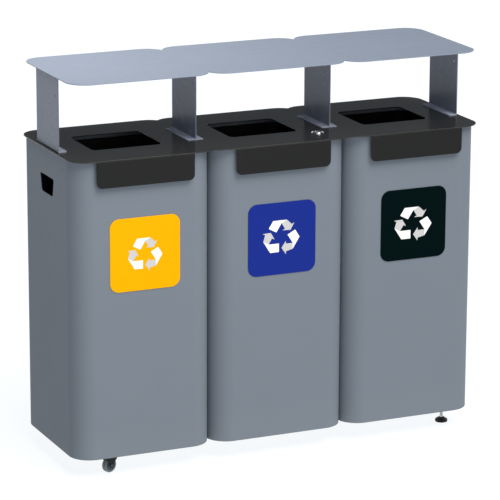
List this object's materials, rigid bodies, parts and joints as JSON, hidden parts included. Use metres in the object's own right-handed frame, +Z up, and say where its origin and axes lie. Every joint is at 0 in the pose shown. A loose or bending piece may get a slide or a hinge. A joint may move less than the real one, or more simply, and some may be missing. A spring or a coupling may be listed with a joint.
{
  "type": "recycling bin station",
  "caption": "Row of joined sheet-metal recycling bins with one hinged top, feed openings, front lips, liners and a canopy on posts, on casters and levelling feet.",
  "frame": {"origin": "on the floor, at the centre of the station's outline", "axes": "+X along the front, to the right of somebody facing it; +Y from the front to the rear; +Z up"},
  "size_m": [1.362, 0.49, 1.22],
  "materials": {
    "grey_paint": "satin grey powder coat",
    "silver_paint": "silver-grey powder coat with fine sparkle",
    "black_paint": "semi-gloss black powder coat",
    "zinc_plate": "bright zinc plate",
    "bright_steel": "polished steel",
    "liner_plastic": "black moulded plastic",
    "black_nylon": "black nylon",
    "caster_rubber": "grey rubber tread",
    "strut_paint": "gloss black paint",
    "sign_yellow": "satin yellow plate",
    "sign_blue": "satin blue plate",
    "sign_green": "satin black-green plate"
  },
  "bodies": {
    "root": {"module_1_front_casing": "grey_paint", "module_1_rear_casing": "grey_paint", "module_1_top_rim": "zinc_plate", "module_1_floor_tray": "zinc_plate", "module_1_liner": "liner_plastic", "module_2_front_casing": "grey_paint", "module_2_rear_casing": "grey_paint", "module_2_top_rim": "zinc_plate", "module_2_floor_tray": "zinc_plate", "module_2_liner": "liner_plastic", "module_3_front_casing": "grey_paint", "module_3_rear_casing": "grey_paint", "module_3_top_rim": "zinc_plate", "module_3_floor_tray": "zinc_plate", "module_3_liner": "liner_plastic", "tie_bolt_1": "zinc_plate", "tie_bolt_2": "zinc_plate", "sign_plate_1": "sign_yellow", "sign_plate_2": "sign_blue", "sign_plate_3": "sign_green", "hinge_1_casing_leaf": "zinc_plate", "hinge_1_pin": "bright_steel", "hinge_2_casing_leaf": "zinc_plate", "hinge_2_pin": "bright_steel", "strut_left_casing_bracket": "zinc_plate", "strut_right_casing_bracket": "zinc_plate", "caster_front_plate": "zinc_plate", "foot_front_nut": "zinc_plate", "caster_rear_plate": "zinc_plate", "foot_rear_nut": "zinc_plate"},
    "lid": {"top_plate": "black_paint", "front_lip_1": "black_paint", "front_lip_2": "black_paint", "front_lip_3": "black_paint", "canopy_post_1": "silver_paint", "canopy_post_2": "silver_paint", "canopy_post_3": "silver_paint", "canopy_post_4": "silver_paint", "canopy": "silver_paint", "hinge_1_lid_leaf": "black_paint", "hinge_2_lid_leaf": "black_paint", "strut_left_lid_bracket": "zinc_plate", "strut_right_lid_bracket": "zinc_plate", "lock_case": "bright_steel"},
    "strut_left_cylinder": {"strut_left_cylinder": "strut_paint"},
    "strut_left_rod": {"strut_left_rod": "bright_steel"},
    "strut_right_cylinder": {"strut_right_cylinder": "strut_paint"},
    "strut_right_rod": {"strut_right_rod": "bright_steel"},
    "lock_plug": {"lock_plug": "bright_steel"},
    "caster_front_fork": {"caster_front_fork": "black_nylon", "caster_front_axle": "bright_steel"},
    "caster_front_wheel": {"caster_front_wheel": "caster_rubber"},
    "foot_front": {"foot_front_pad": "black_nylon", "foot_front_stud": "zinc_plate"},
    "caster_rear_fork": {"caster_rear_fork": "black_nylon", "caster_rear_axle": "bright_steel"},
    "caster_rear_wheel": {"caster_rear_wheel": "caster_rubber"},
    "foot_rear": {"foot_rear_pad": "black_nylon", "foot_rear_stud": "zinc_plate"}
  },
  "joints": [
    {"name": "lid_hinge", "type": "hinge", "parent": "root", "child": "lid", "pos_m": [0, 0.239, 0.981], "axis": [-1, 0, 0], "range_deg": [0, 60]},
    {"name": "strut_left_pivot", "type": "hinge", "parent": "root", "child": "strut_left_cylinder", "pos_m": [-0.643, 0.179, 0.741], "axis": [-1, 0, 0], "range_deg": [0, 5.5]},
    {"name": "strut_left_slide", "type": "slide", "parent": "strut_left_cylinder", "child": "strut_left_rod", "axis": [0, -0.0914, 0.9958], "range_m": [0, 0.0795]},
    {"name": "strut_right_pivot", "type": "hinge", "parent": "root", "child": "strut_right_cylinder", "pos_m": [0.643, 0.179, 0.741], "axis": [-1, 0, 0], "range_deg": [0, 5.5]},
    {"name": "strut_right_slide", "type": "slide", "parent": "strut_right_cylinder", "child": "strut_right_rod", "axis": [0, -0.0914, 0.9958], "range_m": [0, 0.0795]},
    {"name": "lock_turn", "type": "hinge", "parent": "lid", "child": "lock_plug", "pos_m": [0.158, -0.146, 0.99], "axis": [0, 0, -1], "range_deg": [0, 90]},
    {"name": "caster_front_swivel", "type": "hinge", "parent": "root", "child": "caster_front_fork", "pos_m": [-0.539, -0.172, 0.06], "axis": [0, 0, 1], "continuous": true},
    {"name": "caster_front_roll", "type": "hinge", "parent": "caster_front_fork", "child": "caster_front_wheel", "pos_m": [-0.5502, -0.1763, 0.023], "axis": [0.3584, -0.9336, 0], "continuous": true},
    {"name": "foot_front_screw", "type": "slide", "parent": "root", "child": "foot_front", "axis": [0, 0, -1], "range_m": [0, 0.015]},
    {"name": "caster_rear_swivel", "type": "hinge", "parent": "root", "child": "caster_rear_fork", "pos_m": [-0.539, 0.172, 0.06], "axis": [0, 0, 1], "continuous": true},
    {"name": "caster_rear_roll", "type": "hinge", "parent": "caster_rear_fork", "child": "caster_rear_wheel", "pos_m": [-0.5502, 0.1677, 0.023], "axis": [0.3584, -0.9336, 0], "continuous": true},
    {"name": "foot_rear_screw", "type": "slide", "parent": "root", "child": "foot_rear", "axis": [0, 0, -1], "range_m": [0, 0.015]}
  ],
  "couplings": [
    {"joint": "strut_left_pivot", "follows": "lid_hinge", "ratio": 0.090397},
    {"joint": "strut_left_slide", "follows": "lid_hinge", "m_per_rad": 0.075791},
    {"joint": "strut_right_pivot", "follows": "lid_hinge", "ratio": 0.090397},
    {"joint": "strut_right_slide", "follows": "lid_hinge", "m_per_rad": 0.075791}
  ]
}
